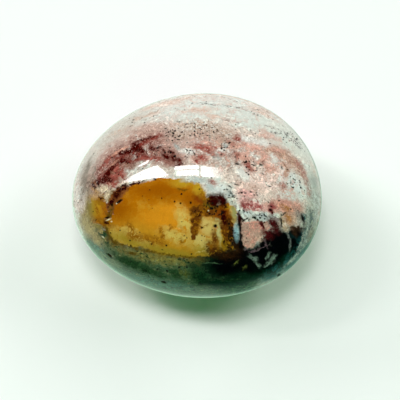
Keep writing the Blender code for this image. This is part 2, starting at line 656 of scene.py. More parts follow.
# %% Paint the maroon band
DUSTY_ROSE = (0.45, 0.3, 0.25)
MAUVE = (0.275, 0.125, 0.1)
ROSE_LIGHT = (0.56, 0.37, 0.31)
BRICK = (0.17, 0.04, 0.028)
BLOOD = (0.18, 0.03, 0.022)
RUST = (0.048, 0.0015, 0.0006)
MAROON = (0.026, 0.0006, 0.0006)
ROSE_BROWN = (0.27, 0.12, 0.075)
CORAL = (0.58, 0.29, 0.21)
DUSK = (0.19, 0.15, 0.115)
RED_MOTTLE = (0.27, 0.065, 0.05)
RUSSET_BROWN = (0.2, 0.075, 0.03)

STREAK_SQUEEZE = (0.35, 1.0, 1.8)
streaks = drawn_out(frayed, (120, 160, 20, -20, 5), STREAK_SQUEEZE, 1.0, 0.72)

ROSE_FIELD = [(142, 136, 32, -10, 11), (108, 157, 16, -20, 9), (170, 148, 20, 3, 14)]
MAUVE_FIELD = [
    (137, 152, 34, -12, 13), (112, 168, 16, -18, 12), (160, 154, 20, 4, 10), (118, 180, 10, -8, 8),
]
DARK_STREAKS = [(128, 155, 28, -14, 10), (108, 172, 12, -14, 9), (162, 156, 16, 4, 6)]
BAND = [
    *vein(3.2, (93, 186), (98, 181), (104, 176), (109, 170), (116, 163)),
    *vein(3, (116, 163), (122, 156), (130, 150), (138, 146), (148, 140), (161, 135)),
]
UPPER_LINE = vein(1.6, (100, 169), (105, 163), (112, 156), (119, 154))
INNER_STREAKS = [
    *vein(2.2, (106, 184), (112, 180), (118, 175), (122, 169)),
    *vein(1.8, (126, 163), (133, 161), (141, 158), (152, 158), (162, 159)),
    *vein(2.2, (132, 152), (140, 156), (150, 157)),
    *vein(2.8, (164, 160), (172, 162), (181, 161)),
]
BAND_CORE = [
    *vein(2.4, (103, 181), (107, 174), (112, 168), (117, 162)),
    *vein(2.2, (118, 154), (124, 152), (130, 151)),
    *vein(1.5, (131, 148), (135, 146), (138, 143)),
    *vein(1.8, (135, 150), (139, 150), (144, 153)),
    *vein(1.1, (138, 141), (146, 139), (153, 137)),
]
RED_PATCHES = [
    (113, 178, 4, 3, 2.6), (119, 170, 4, 5, 3.4), (113, 184, 6, 2, 3), (121, 176, 2, 6, 3),
    (107, 162, 5, -5, 2),
    *vein(1.6, (140, 158), (150, 158), (160, 160)),
    (117, 172, 3, 5, 2.5),
]
LEFT_RUSSETS = [(95, 188, 2.5, 9, 3.5), (92, 200, 1, 5, 2), (103, 192, 4, 6, 5)]
DARK_KNOTS = [
    (105, 180, 8, -0.5, 3), (108, 179.5, 5, 1, 2.6), (99, 181.5, 3, 0, 2.2),
    (108, 174, 2.4, -3.6, 2.2), (111.5, 168.5, 2, -3, 1.8), (122, 160.5, 5, -1, 2.2),
    (127, 162.5, 3, 1, 1.3), (124, 152.5, 6, -1.2, 1.7), (131, 151, 4, -2, 2.2),
    (136, 147, 4, -3, 3.2), (141, 150, 2.4, 3, 2.8), (134, 143.5, 3, -2, 1.5),
    (152, 148.5, 3, 2, 2.2), (159, 147, 4, -1.5, 1.8), (94, 188, 1.5, 4, 1.4),
]
CORAL_STREAKS = [
    *vein(1, (111, 167), (114, 163), (118, 160)),
    *vein(1.1, (113, 155), (119, 151), (127, 147)),
]
LEFT_STREAKS = [
    *vein(2, (90, 160), (86, 174), (84, 186), (81, 200)),
    *vein(1.4, (96, 165), (93, 176), (89, 187)),
]
CLUSTER_GREY = [(169, 151, 3, 1.5, 2), (178, 143, 4, 2, 2.5), (173, 132.5, 2, 1.5, 1.5)]
LIGHT_BITS = [(147, 151, 2, 5, 1.6), (160, 145.2, 5, -0.6, 0.9), (172, 154.6, 2.4, 1, 1.1)]

colour = paint(
    colour,
    (DUSTY_ROSE, ROSE_FIELD, frayed, 0.7, patches, 0.26, 0.46),
    (MAUVE, MAUVE_FIELD, frayed, 0.7, patches, 0.42, 0.5),
    (BRICK, DARK_STREAKS, frayed, 0.9, streaks, 0.5, 0.55),
    (RUST, DARK_STREAKS, frayed, 0.9, streaks, 0.57, 0.61),
    (ROSE_LIGHT, MAUVE_FIELD, frayed, 0.9, streaks, 0.45, 0.4),
    (DUSK, LEFT_STREAKS, frayed, 0.9, streaks, 0.34, 0.54),
    (DUSK, CLUSTER_GREY, frayed, 0.8, grains, 0.42, 0.62),
    (ROSE_BROWN, [(115, 174, 7, -7, 7), (127, 165, 8, -2, 4)], frayed, 0.9, patches, 0.6, 0.48),
    (BLOOD, BAND + UPPER_LINE + INNER_STREAKS, ragged, 0.7, grains, 0.38, 0.47),
    (RUST, BAND_CORE, ragged, 0.6, grains, 0.42, 0.46),
    (RUST, DARK_STREAKS, frayed, 0.9, threads, 0.026, 0.01),
    (CORAL, CORAL_STREAKS, grainy, 0.8),
    (RED_MOTTLE, RED_PATCHES, ragged, 0.7, patches, 0.42, 0.48),
    (RUSSET_BROWN, LEFT_RUSSETS, ragged, 0.8, grains, 0.46, 0.54),
    (SHELL_PINK, LIGHT_BITS, grainy, 0.8, grains, 0.56, 0.4),
    (CREAM, LEFT_CREAM, ragged, 0.7, patches, 0.56, 0.5),
    (RUST, DARK_KNOTS, ragged, 0.5, grains, 0.38, 0.43),
)

# %% [markdown]
# The brown crown and the red blotches
#
# Above the middle lies a brownish smear, and below it red and salmon blotches with milky gaps
# between them. Those that stand alone are bodies, and those that curl into each other come from
# noise in swirls and streaks.

# %% Paint the smear and the blotches
GREY_BROWN = (0.4, 0.275, 0.215)
DUSTY_PINK = (0.42, 0.28, 0.245)
PINK = (0.6, 0.39, 0.335)
SALMON = (0.62, 0.32, 0.26)
ROSE_RED = (0.36, 0.15, 0.12)
RED = (0.25, 0.05, 0.04)
MILK = (0.68, 0.63, 0.6)
SLATE = (0.33, 0.335, 0.32)
FOX = (0.47, 0.27, 0.2)
RUSSET = (0.26, 0.12, 0.09)

arc_streaks = drawn_out(ragged, (292, 162, 14, 14, 3), STREAK_SQUEEZE, 0.9, 0.7)

DUSTY_FIELD = [(208, 148, 38, 4, 18), (188, 160, 14, 0, 9), (232, 154, 18, 8, 12)]
SWIRLED_FIELD = [(225, 150, 40, 8, 16), (264, 158, 26, 14, 18), (284, 182, 8, 16, 10)]
CLUSTER = [(171, 157, 11, 5, 7)]
CLUSTER_KNOTS = [
    (163, 151, 2, 2, 1.4), (166, 156.5, 4, 3, 2.6), (174, 158.5, 4, 3, 3), (172, 152, 3, 2, 1.4),
    (180, 161, 3, 3, 2), (178, 165, 4, -1, 1.2),
]
SMEAR = [(203, 130, 24, 2, 7), (183, 134, 14, -1, 5), (222, 138, 14, 4, 7)]
PINKS = [
    (256, 154, 22, 8, 12), (284, 158, 8, 10, 8), (269, 136, 10, 4, 4), (275, 172, 3, 8, 3),
    (250, 187, 14, 4, 4),
]
FOX_ARC = [
    *vein(5, (266, 149), (278, 151), (289, 158), (298, 166), (304, 176)),
    *vein(2.4, (283, 163), (288, 168), (286, 176)),
]
RED_BROWN_ARC = vein(2.6, (296, 161), (302, 169), (306, 178), (309, 187), (311, 198))
SALMONS = [
    (255, 148, 6, 1.5, 3), (265, 157, 3, 3, 3), (247, 145, 5, 2, 2.4), (242, 157, 6, 3, 2.8),
    (199, 161, 6, 2, 3), (277, 150, 6, 1.5, 1.8), (268, 166, 4, 2, 2.4),
]
ROSE_REDS = [
    (200, 147, 7, 2, 4), (211, 149, 5, 2.5, 3.4), (201, 158, 6, 2, 4), (213, 154, 4, 2, 2),
    *vein(3, (244, 161), (248, 166), (253, 172)),
    (238, 138, 4, 2, 3), (236, 154, 4, 2, 3), (212, 182.3, 5, 1.8, 2.6), (283, 186, 3.5, 3, 3),
    (222, 154, 4, 2, 2), (231, 143, 4, 2, 2),
]
REDS = [
    (200, 147, 4, 1.5, 2.2), (208, 150, 3, 3, 2), (202, 157.5, 4, 1.5, 2.4),
    (197, 161, 2.5, 1, 1.2), (215, 147, 2.5, 1, 1),
    *vein(1.4, (247, 163), (250, 168)),
    (210.5, 182, 2.6, 1, 1.3), (237, 156.5, 1.8, 1, 1.3), (237, 139, 3, 1, 1.2),
]
MILKY_GAPS = [
    (188, 151, 8, 0, 3), (199, 150, 2.5, 1, 1.6), (249, 139, 8, 2, 2.4), (263, 143, 7, 2, 2.8),
    (274, 158, 4, 5, 2.8), (254, 156, 4, 3, 2.2), (243, 176, 6, 4, 4), (219, 150, 2, 2, 1.6),
]
SLATE_SPOTS = [
    (230, 194, 3, 2.5, 3), (216, 156, 4, 3, 3), (225.5, 145, 2.2, 2, 2.2), (177, 147, 3, 3, 2),
]

colour = paint(
    colour,
    (PINK, PINKS, frayed, 0.8, patches, 0.34, 0.5),
    (DUSTY_PINK, DUSTY_FIELD, frayed, 0.6, patches, 0.6, 0.44),
    (SALMON, SWIRLED_FIELD, frayed, 0.8, swirls, 0.53, 0.57),
    (MILK, SWIRLED_FIELD, frayed, 0.8, swirls, 0.43, 0.38),
    (RUSSET, SWIRLED_FIELD, frayed, 0.9, threads, 0.02, 0.006),
    (MAUVE, CLUSTER, ragged, 0.6, patches, 0.34, 0.44),
    (SLATE, CLUSTER, ragged, 0.8, patches, 0.6, 0.64),
    (RUST, CLUSTER_KNOTS, ragged, 0.6, grains, 0.35, 0.41),
    (GREY_BROWN, SMEAR, frayed, 0.8, grains, 0.36, 0.58),
    (FOX, FOX_ARC, ragged, 0.7, arc_streaks, 0.42, 0.48),
    (RUSSET, FOX_ARC, ragged, 0.8, arc_streaks, 0.55, 0.6),
    (SALMON, SALMONS, ragged, 0.8, grains, 0.36, 0.48),
    (MILK, MILKY_GAPS, ragged, 0.7, grains, 0.62, 0.52),
    (SLATE, SLATE_SPOTS, grainy, 0.8, grains, 0.3, 0.5),
    (ROSE_RED, ROSE_REDS + RED_BROWN_ARC, ragged, 0.8, grains, 0.38, 0.48),
    (RED, REDS, ragged, 0.7, grains, 0.38, 0.46),
)

# %% [markdown]
# The dark foot
#
# Towards the foot the rock turns grey-green on the left and nearly black on the right, and along
# the right-hand rim it runs up in teal and grey streaks. Noise squeezed across the foot lays sage
# and deep green in thin bands. The deep green and the near-black green low on the foot are partly
# the rock's colour and partly painted shade of the underside.

# %% Paint the foot
GREY_MOSS = (0.055, 0.095, 0.05)
KHAKI = (0.25, 0.185, 0.045)
MOSS_OLIVE = (0.09, 0.09, 0.02)
SAGE = (0.15, 0.165, 0.08)
# deep green of the rock, partly painted shade low on the foot
DEEP_MOSS_AND_SHADE = (0.012, 0.04, 0.012)
TEAL = (0.05, 0.14, 0.1)
OLIVE_CREAM = (0.3, 0.23, 0.085)
RIM_GREY = (0.34, 0.36, 0.32)
STORM = (0.05, 0.085, 0.08)
DEEP_TEAL = (0.002, 0.016, 0.018)
RIM_TEAL = (0.015, 0.075, 0.08)
STORM_GREY = (0.19, 0.22, 0.15)
RIM_BEIGE = (0.22, 0.17, 0.11)
INK = (0.0006, 0.0006, 0.0012)
# near-black green, partly painted shade of the underside
BOTTLE_AND_SHADE = (0.001, 0.018, 0.008)
BROWN_OLIVE = (0.17, 0.1, 0.02)

FOOT_SQUEEZE = (0.4, 1.0, 2.4)
foot_streaks = drawn_out(ragged, (150, 268, 30, 9, 8), FOOT_SQUEEZE, 1.1, 0.65)

FOOT = [(150, 276, 62, 16, 22), (108, 257, 24, 22, 15), (205, 288, 60, 0, 24)]
SAGE_BANDS = [(122, 250, 18, 5, 3), (110, 262, 10, 8, 4), (150, 262, 14, 3, 2)]
DEEP_GREENS = [
    (132, 263, 18, 5, 4.5), (150, 271, 14, 5, 3.5), (174, 273, 6, 5, 3), (199, 276, 6, 10, 7),
    (101, 233, 5, 6, 3.4), (109.5, 255, 2.8, 1.8, 1.2), (200, 285, 6, 1, 2), (232, 284, 14, 0, 3),
]
RIM_STREAKS = vein(5, (313, 176), (316, 190), (315, 206), (312, 222), (306, 238))
STORM_STREAKS = vein(4, (312, 212), (312, 224), (309, 234))
DARK_RIM = [(294, 238, 8, -10, 9), (291, 252, 11, -10, 8), (277, 266, 14, -7, 7)]
TEAL_RIM = [
    *vein(3, (306, 216), (307, 228), (303, 240), (296, 253), (284, 265), (268, 275)),
    (304.5, 218, 2, 7, 2.6),
]
RIM_LINES = [
    *vein(1.4, (318, 198), (317, 210), (314, 224), (309, 238), (300, 252), (288, 264)),
    *vein(1.2, (308, 214), (309, 224), (305, 238), (301, 247)),
    *vein(0.8, (304, 233), (302, 240), (298, 249)),
]
AMBER_SURROUND = [
    (112, 238, 12, 12, 6), (165, 246, 44, 8, 10), (210, 248, 26, 0, 12), (92, 220, 8, 14, 12),
    (110, 200, 12, -6, 8), (222, 222, 10, 22, 16),
]
BLACK_FIELD = [
    (281, 243, 9, 10, 13), (296, 232, 5, 4, 4), (265, 243, 6, -5, 5), (264, 258, 30, -8, 14),
    (244, 259, 20, 0, 10), (238, 244, 4, 10, 5), (240.5, 226, 1.5, 13, 2.2), (295, 246, 5, 9, 5),
    (272, 236, 5, 4, 5), (260, 268, 14, -5, 7),
]

colour = paint(
    colour,
    (RIM_GREY, RIM_STREAKS, frayed, 0.8),
    (GREY_MOSS, FOOT, frayed, 0.2),
    (TEAL, [(98, 247, 3, 6, 4), (150, 283, 26, 7, 3.5), (178, 286, 14, 3, 3.5)], frayed, 0.9),
    (SAGE, SAGE_BANDS, frayed, 0.9, patches, 0.36, 0.54),
    (KHAKI, [(160, 258, 36, 4, 5.5), (196, 260, 14, 0, 4)], frayed, 0.8, foot_streaks, 0.36, 0.52),
    (MOSS_OLIVE, [(184, 273, 8, 2, 4), (210, 262, 10, 0, 3)], frayed, 0.9, patches, 0.4, 0.54),
    (SAGE, FOOT, frayed, 0.4, foot_streaks, 0.58, 0.63),
    # partly painted shade: deep green in bands and spots across the foot
    (DEEP_MOSS_AND_SHADE, FOOT, frayed, 0.4, foot_streaks, 0.44, 0.38),
    (DEEP_MOSS_AND_SHADE, DEEP_GREENS, frayed, 0.8, grains, 0.28, 0.5),
    (BROWN_OLIVE, AMBER_SURROUND, frayed, 0.5, foot_streaks, 0.36, 0.5),
    (OLIVE_CREAM, [(88, 226, 6, 12, 9), (97, 236, 7, 8, 7)], frayed, 0.7),
    (DEEP_MOSS_AND_SHADE, [(102, 233, 6, 5, 4.5), (107, 242, 5, 4, 2.5)], frayed, 0.8, patches, 0.58, 0.5),
    (STORM_GREY, [(311, 227, 2, -16, 6)], ragged, 0.9),
    (RIM_TEAL, [(304, 249, 9, -12, 6), (291, 264, 12, -10, 6), (274, 275, 12, -6, 5)], ragged, 0.8),
    (DEEP_TEAL, DARK_RIM, ragged, 0.3),
    # partly painted shade: near-black green low on the foot
    (BOTTLE_AND_SHADE, [(230, 268, 32, 2, 19)], torn, 0.7),
    (INK, [(236, 261, 25, 2, 13), (226, 267, 18, 0, 11)], frayed, 0.6),
    (INK, BLACK_FIELD, ragged, 0.3),
    # partly painted shade: near-black green bands along the bottom rim
    (BOTTLE_AND_SHADE, [(222, 284, 22, 1, 3.5), (256, 277, 18, -5, 4), (284, 262, 9, -8, 4)], frayed, 0.8),
    (STORM, STORM_STREAKS, frayed, 0.6, patches, 0.56, 0.48),
    (RIM_TEAL, TEAL_RIM, ragged, 0.9, patches, 0.46, 0.54),
    (RIM_GREY, RIM_LINES, ragged, 0.8, grains, 0.42, 0.5),
    (RIM_BEIGE, [(311, 235, 2, -7, 2.4)], ragged, 0.9, grains, 0.36, 0.5),
)

# %% [markdown]
# The right-hand blotches
#
# On the right the pink is cut by black: a wedge of rose, a salmon field and dark red knots, with
# milky blue between them. The black is there already, and the colours are laid over it, from the
# broad fields down to single dots.

# %% Paint the right-hand blotches
WEDGE_ROSE = (0.57, 0.245, 0.2)
WEDGE_GREY = (0.46, 0.27, 0.22)
FIELD_SALMON = (0.55, 0.255, 0.205)
PALE_ROSE = (0.62, 0.32, 0.3)
APRICOT = (0.47, 0.235, 0.155)
STRAW_CREAM = (0.46, 0.3, 0.19)
FOX_ORANGE = (0.42, 0.17, 0.06)
MAUVE_GREY = (0.27, 0.21, 0.19)
DARK_BROWN = (0.03, 0.012, 0.006)
CRIMSON = (0.3, 0.06, 0.06)
WINE = (0.05, 0.004, 0.005)
MILKY_BLUE = (0.41, 0.42, 0.42)
LILAC = (0.12, 0.07, 0.085)
DULL_GREY = (0.15, 0.155, 0.15)
ASH = (0.17, 0.215, 0.18)

PINK_WEDGE = [
    (255, 227, 13, 2, 6), (252, 235, 10, -1, 8), (249, 242, 6, -3, 6), (246, 233, 3, 9, 5),
    (262, 230, 5, 2, 4.5), (265, 226, 4.5, 1, 4.5),
]
ROSE_KNOBS = [
    (247, 194, 10, 3, 4.5), (246, 202, 7, 5, 6), (256, 206, 5, 2.5, 4.4), (266, 208, 8, 2, 4),
]
DARK_BROWNS = [(297, 228.5, 8, 1, 2.4), (303, 219, 1, 5, 1.2), (295, 233, 2, 4, 2)]
CREAMS = [(285, 228, 3, 2, 2.4), (282, 220, 1.5, 4, 2.2)]
LILACS = [
    (277, 218.5, 4, 2, 1.8), (266, 244, 1.4, 3.4, 0.8), (246, 249.5, 1.4, 0, 1.2),
    (254, 251, 4, -1, 0.9), (260, 248.5, 6, -3, 0.8),
]
CRIMSONS = [
    (273, 206, 3, 3, 2.8), (271, 211, 2, 3, 2), (246, 208, 4, 1.5, 1.4),
    *vein(1, (257.5, 200), (257, 205), (254, 210)),
    (254.5, 210, 4, 0.6, 0.9), (262, 226, 2, 4, 1.8), (252, 203, 1, 3, 1.2), (244, 206, 3, 4, 3),
    (259, 207, 3, 2, 2), (250, 206, 5, 3, 2.2),
]
WINES = [
    (274, 224, 5, 6, 4.5), (276, 230, 5, 2, 4), (268, 234, 5, 4, 4), (271, 229, 2, 1.5, 2),
    (266, 237, 2.5, 2, 2.2), (262.5, 225, 2, 4, 1.3), (272, 212, 1.5, 4, 1.6),
]
INK_MARKS = [
    *vein(0.8, (281, 215.5), (284, 214), (286, 212)),
    *vein(0.9, (281, 217), (281.5, 226)),
    *vein(1.1, (242, 221.5), (245, 220), (248, 217.5)),
    (254.5, 217.5, 2, 1.5, 1.4), (257.5, 220, 1.5, 1, 1), (265.5, 216, 1.5, 1, 0.9),
    (271, 206, 1.2, 0.4, 0.7), (270, 210, 1.2, 0.4, 0.8), (303, 219, 1.4, 4, 1.4),
]
INK_DOTS = [
    (231, 193, 1.2, 1.5, 1.2), (233, 195.5, 1.6, 0.6, 1), (230, 186.5, 1.6, 1, 1),
    (227, 189.5, 1, 0.5, 0.9), (236.5, 184.5, 1.8, 0.5, 0.8), (232, 201.5, 1, 0.5, 0.8),
    (234.5, 188, 0.8, 0.3, 0.7), (228.5, 197, 0.8, 0.5, 0.8), (237, 198.5, 0.9, 0.3, 0.6),
    (245, 193, 1.2, 0.4, 0.8), (251, 192, 1, 0.5, 0.8), (257, 195.5, 1, 0.5, 0.8),
    (235, 157, 1, 0.6, 0.9), (237, 164, 1.8, 0.6, 1), (261, 165, 1.6, 0.6, 1),
    (254, 165.5, 1.4, 0.6, 0.9), (263, 174, 1, 0.5, 0.8), (282, 167, 0.8, 1.6, 0.7),
]
ASH_BITS = [
    (253, 258, 4, 1.5, 2), (258, 265, 2, 2.5, 1.5), (268, 256, 1.6, -3.4, 1.1),
    (273, 258, 3, -3, 1.8), (270, 262, 3, -1, 1), (269, 264, 4.5, -2, 1.2),
]
OLIVE_BITS = [(236.5, 263, 2.6, -2, 1.4), (245, 267, 2, -2, 1.2), (233, 250, 3, -1, 1.2)]
GREY_GLINTS = vein(0.9, (287.5, 234), (290.5, 241), (290, 249))

colour = paint(
    colour,
    (PALE_ROSE, ROSE_KNOBS, ragged, 0.7, grains, 0.3, 0.4),
    (FIELD_SALMON, [(284, 206, 16, 3, 8), (297, 207, 5, 6, 5)], frayed, 0.6, grains, 0.24, 0.42),
    (APRICOT, [(290, 219, 7, 3, 7)], frayed, 0.9, grains, 0.26, 0.44),
    (FOX_ORANGE, [(288.5, 218, 2, 5, 2.6), (286, 208, 5, 2, 2.4)], ragged, 0.9, grains, 0.36, 0.48),
    (STRAW_CREAM, CREAMS, ragged, 0.9, grains, 0.36, 0.48),
    (MAUVE_GREY, [(299, 217, 2, 8, 2.6)], ragged, 0.9, grains, 0.36, 0.48),
    (DARK_BROWN, DARK_BROWNS, ragged, 0.7, grains, 0.36, 0.44),
    (MILKY_BLUE, [(262, 216, 10, 2, 4), (246, 213.5, 6, 2, 3.4)], frayed, 0.7, grains, 0.74, 0.58),
    (WEDGE_ROSE, PINK_WEDGE, ragged, 0.2),
    (WEDGE_GREY, PINK_WEDGE, ragged, 0.2, swirls, 0.52, 0.48),
    (WEDGE_GREY, [(246, 240, 3, 5, 3), (257, 236, 5, 3, 3), (244, 225, 1.5, 3, 1.5)], ragged, 0.9),
    (CRIMSON, CRIMSONS, ragged, 0.7, grains, 0.34, 0.44),
    (WINE, WINES, ragged, 0.6, grains, 0.3, 0.38),
    (LILAC, LILACS, ragged, 0.9, grains, 0.38, 0.48),
    (INK, INK_MARKS, grainy, 0.7),
    (INK, INK_DOTS, grainy, 0.7),
    (ASH, ASH_BITS, ragged, 0.8, grains, 0.38, 0.48),
    (DULL_GREY, GREY_GLINTS, grainy, 0.8, grains, 0.36, 0.46),
    (MOSS_OLIVE, OLIVE_BITS, ragged, 0.8, grains, 0.4, 0.5),
)

# %% [markdown]
# The amber
#
# The amber patch is clear chalcedony stained by iron, lit from within, so its colour changes softly
# from deep orange to straw and its edge is smooth. Light that really passes through the stone would
# be slow and grainy to render, so the glow is painted, in soft bodies of several yellows.

# %% Paint the amber
AMBER = (0.45, 0.14, 0.001)
BRIGHT_AMBER = (0.64, 0.235, 0.01)
HONEY = (0.5, 0.215, 0.012)
STRAW = (0.6, 0.4, 0.09)
BURNT = (0.3, 0.08, 0.0005)
GOLD = (0.45, 0.25, 0.015)
OCHRE = (0.29, 0.125, 0.006)
OLIVE = (0.33, 0.2, 0.018)
DARK_OLIVE = (0.1, 0.05, 0.003)
CREAM_YELLOW = (0.58, 0.39, 0.115)
RED_BROWN = (0.19, 0.04, 0.002)
UMBER = (0.12, 0.032, 0.003)
# near-black of dark grains, also used as painted shade inside the pits
SOOT_AND_PIT_SHADE = (0.012, 0.004, 0.001)
DARK_MOSS = (0.05, 0.045, 0.004)
GREEN_CREAM = (0.29, 0.26, 0.1)
PALE_GREEN = (0.5, 0.42, 0.17)
BARK = (0.025, 0.008, 0.002)
RUST_BROWN = (0.21, 0.075, 0.008)

AMBER_OUTLINE = [
    (152, 207, 43, 0, 26), (184, 203, 24, 2, 25), (164, 187, 28, -1, 9), (136, 231, 32, 10, 15),
    (168, 240, 42, 9, 16), (197, 243, 26, 2, 14), (124, 238, 14, 6, 7), (218, 228, 1, 24, 17),
    (98, 210, 10, 2, 12), (95, 200, 4, 2, 4.5), (108, 220, 14, 6, 8), (196, 226, 16, 0, 12),
    (231, 215, 1, 10, 6), (122, 204, 12, -6, 12), (224, 210, 6, 2, 8), (210, 204, 5, 5, 7),
]
OCHRES = [(88, 212, 2, 14, 5), (100, 224, 12, 4, 6), (110, 232, 4, 8, 3), (99, 202, 6, 2, 3)]
STRAWS = [
    (185, 222, 6, 14, 6), (176, 236, 14, 5, 6), (128, 232, 10, 3, 4), (122, 237, 12, 6, 6),
    (201, 242, 12, 4, 9), (142, 243, 12, 3, 4),
]
OLIVES = [
    (91, 208, 2.5, 9, 3.5), (168, 252, 42, 9, 5), (204, 252, 12, 2, 6), (128, 241, 18, 7, 5),
]
DARK_OLIVES = [(183, 189, 5, 0.5, 0.9), (225, 252, 12, -4, 6), (86, 214, 1, 12, 1.8)]
MOTTLES = [(213, 206, 9, 3, 6), (228, 230, 5, 18, 8), (212, 250, 5, 7, 5)]
PALE_CREAMS = [
    (207, 226, 6, 8, 7), (216, 222, 6, 2, 3.5), (219.3, 234, 1.2, 9, 2.4), (232.5, 214, 2, 8, 3),
    (200, 240, 6, 5, 4),
]
DARK_END = [
    (230, 236, 3, 14, 5), (232, 247, 9, 3, 6.5), (222, 254, 14, 2, 4.5), (224, 240, 0.8, 10, 1.2),
    (212, 251, 4, 2, 2),
]
LOBE_RUSTS = [(102, 200, 4, 2, 2.4), (103, 223, 8, 3, 3.6), (105, 212, 2, 6, 2)]
SWIRL = vein(1.2, (207, 240), (208, 246), (205, 251), (199, 253))
GOLD_BITS = [(223.5, 246, 2, 3, 1.6), (229, 243, 2, 1, 1.2), (233, 248, 2, 1, 1)]
YOLKS = [(228, 207, 3.5, 1, 1.6), (223, 245, 3, 6, 3), (201, 190, 5, 5, 5)]
PALE_GREENS = [(219, 234, 1.2, 10, 1.5), (217, 219.5, 3, 1, 1.3)]

amber = blend(ramp(patches, 0.45, 0.62), AMBER, HONEY)
amber = paint(
    amber,
    (HONEY, [(142, 230, 26, 6, 8), (165, 243, 26, 4, 6)], calm, 0.9),
    (BRIGHT_AMBER, [(164, 220, 24, 4, 9), (172, 212, 16, 3, 8)], calm, 0.9),
    (BURNT, [(158, 190, 34, 0, 9), (116, 208, 14, 4, 12), (192, 200, 12, 4, 9)], calm, 0.9),
    (GOLD, [(184, 182, 12, 0, 4), (201, 189, 7, 3, 5), (94, 204, 4, 9, 4)], calm, 0.9),
    (OCHRE, OCHRES, frayed, 0.9),
    (STRAW, STRAWS, frayed, 0.8, patches, 0.36, 0.5),
    (OLIVE, OLIVES, calm, 0.9),
    (CREAM_YELLOW, PALE_CREAMS, frayed, 0.7),
    (CREAM_YELLOW, SWIRL, frayed, 0.9, grains, 0.62, 0.46),
    (DARK_OLIVE, DARK_OLIVES, frayed, 0.9, grains, 0.3, 0.5),
    (RED_BROWN, [(221, 213, 9, 1, 6), (199, 200, 4, 7, 4)], frayed, 0.7, patches, 0.28, 0.38),
    (UMBER, MOTTLES, frayed, 0.6, patches, 0.62, 0.46),
    (SOOT_AND_PIT_SHADE, MOTTLES, ragged, 0.7, grains, 0.5, 0.56),
    (DARK_MOSS, [(210, 205, 4, 5, 6)], ragged, 0.7, grains, 0.44, 0.5),
    (GOLD, YOLKS, ragged, 0.9, patches, 0.32, 0.46),
    (GREEN_CREAM, [(234.5, 213, 1.5, 8, 2.4)], ragged, 0.9, patches, 0.34, 0.48),
    (PALE_GREEN, PALE_GREENS, ragged, 0.9, grains, 0.36, 0.5),
    (RED_BROWN, [(221, 214.5, 6.5, 1, 5)], ragged, 0.9, grains, 0.36, 0.44),
    (RUST_BROWN, LOBE_RUSTS, ragged, 0.9, grains, 0.4, 0.52),
)
colour = paint(
    colour,
    (amber, AMBER_OUTLINE, calm, 0.08),
    (BARK, DARK_END, ragged, 0.8, grains, 0.38, 0.46),
    (OCHRE, GOLD_BITS, ragged, 0.9, grains, 0.42, 0.5),
)

# %% [markdown]
# Stains in the amber
#
# Brown moss-like stains hang in the amber, and a brown tongue cuts into it from the right. A thin
# brown line follows its lower edge, black and dark red grains its upper left edge, and a pale blue
# band its upper right edge. A few dots are soot-black, and the pits are darkened inside with painted
# shade, some with a pale sparkle, a painted highlight on their small crystals.

# %% Paint the stains
ROCK_RED = (0.2, 0.06, 0.015)
LOBE_OLIVE = (0.21, 0.15, 0.035)
FADED_HONEY = (0.44, 0.26, 0.12)
TONGUE_BROWN = (0.27, 0.095, 0.003)
STAIN = (0.25, 0.085, 0.004)
PALE_BLUE = (0.44, 0.46, 0.45)
GLINT_BLUE = (0.22, 0.34, 0.39)
# pale crystals catching the light: a painted highlight over their own white
SPARKLE_CREAM = (0.66, 0.58, 0.38)

LOBE_EDGE = [(88.5, 208, 0.6, 12, 3.2), (91, 220, 3, 5, 3), (97, 226, 6, 1.5, 1.8)]
GAP_ROCK = [
    (120, 192, 7, -6, 5), (115, 199, 5, -6, 5), (112, 208, 1, -5, 2.2), (108.5, 207, 1, 5, 2),
    (111, 213, 2.4, -2, 2),
]
GAP_CREAM = [(106.5, 196.5, 2.6, -3, 2.4), (124, 186, 4, -2, 1.6)]
TONGUE = [
    (197.5, 212, 7.5, 0, 6.5), (196, 221, 5.5, 0, 6), (194.5, 230, 4, 0, 6),
    (193.5, 237, 2.2, 0, 3), (208, 212, 7, 0, 4.5),
]
BROWN_STREAKS = [(215, 239, 0.8, 9, 3.2), (225, 229, 1, 9, 2.4), (211, 247, 2, 5, 2.2)]
MOSSY_STAINS = [
    *vein(2.4, (128, 223), (130, 228), (134, 230)),
    (131, 227, 2.4, 2.4, 2), (203, 226.5, 5, -1.4, 1.6),
    *vein(2.2, (160, 228), (162, 233), (163, 239)),
    *vein(1.2, (171, 226), (169, 230)),
    *vein(1.8, (180, 238), (183, 241), (182, 244)),
    *vein(2.2, (145, 236), (150, 241), (154, 245)),
    *vein(2.4, (93, 221), (100, 221), (107, 224)),
    (158, 241, 8, 4, 3), (135, 236, 10, 4, 4), (203, 196, 3, 5, 2.4), (210, 246, 3, 2, 2),
    (101, 198, 2, 2, 1.6), (97, 210, 2, 6, 1.5),
]
LOWER_LINE = [
    *vein(1.8, (105, 227), (109, 234), (112, 240), (118, 244)),
    *vein(1.1, (118, 244), (128, 246), (140, 250), (158, 253), (176, 256), (196, 258)),
    *vein(2.4, (111.5, 205), (110.5, 213), (107, 219)),
    (133, 253.5, 5.5, 0.8, 1.6),
]
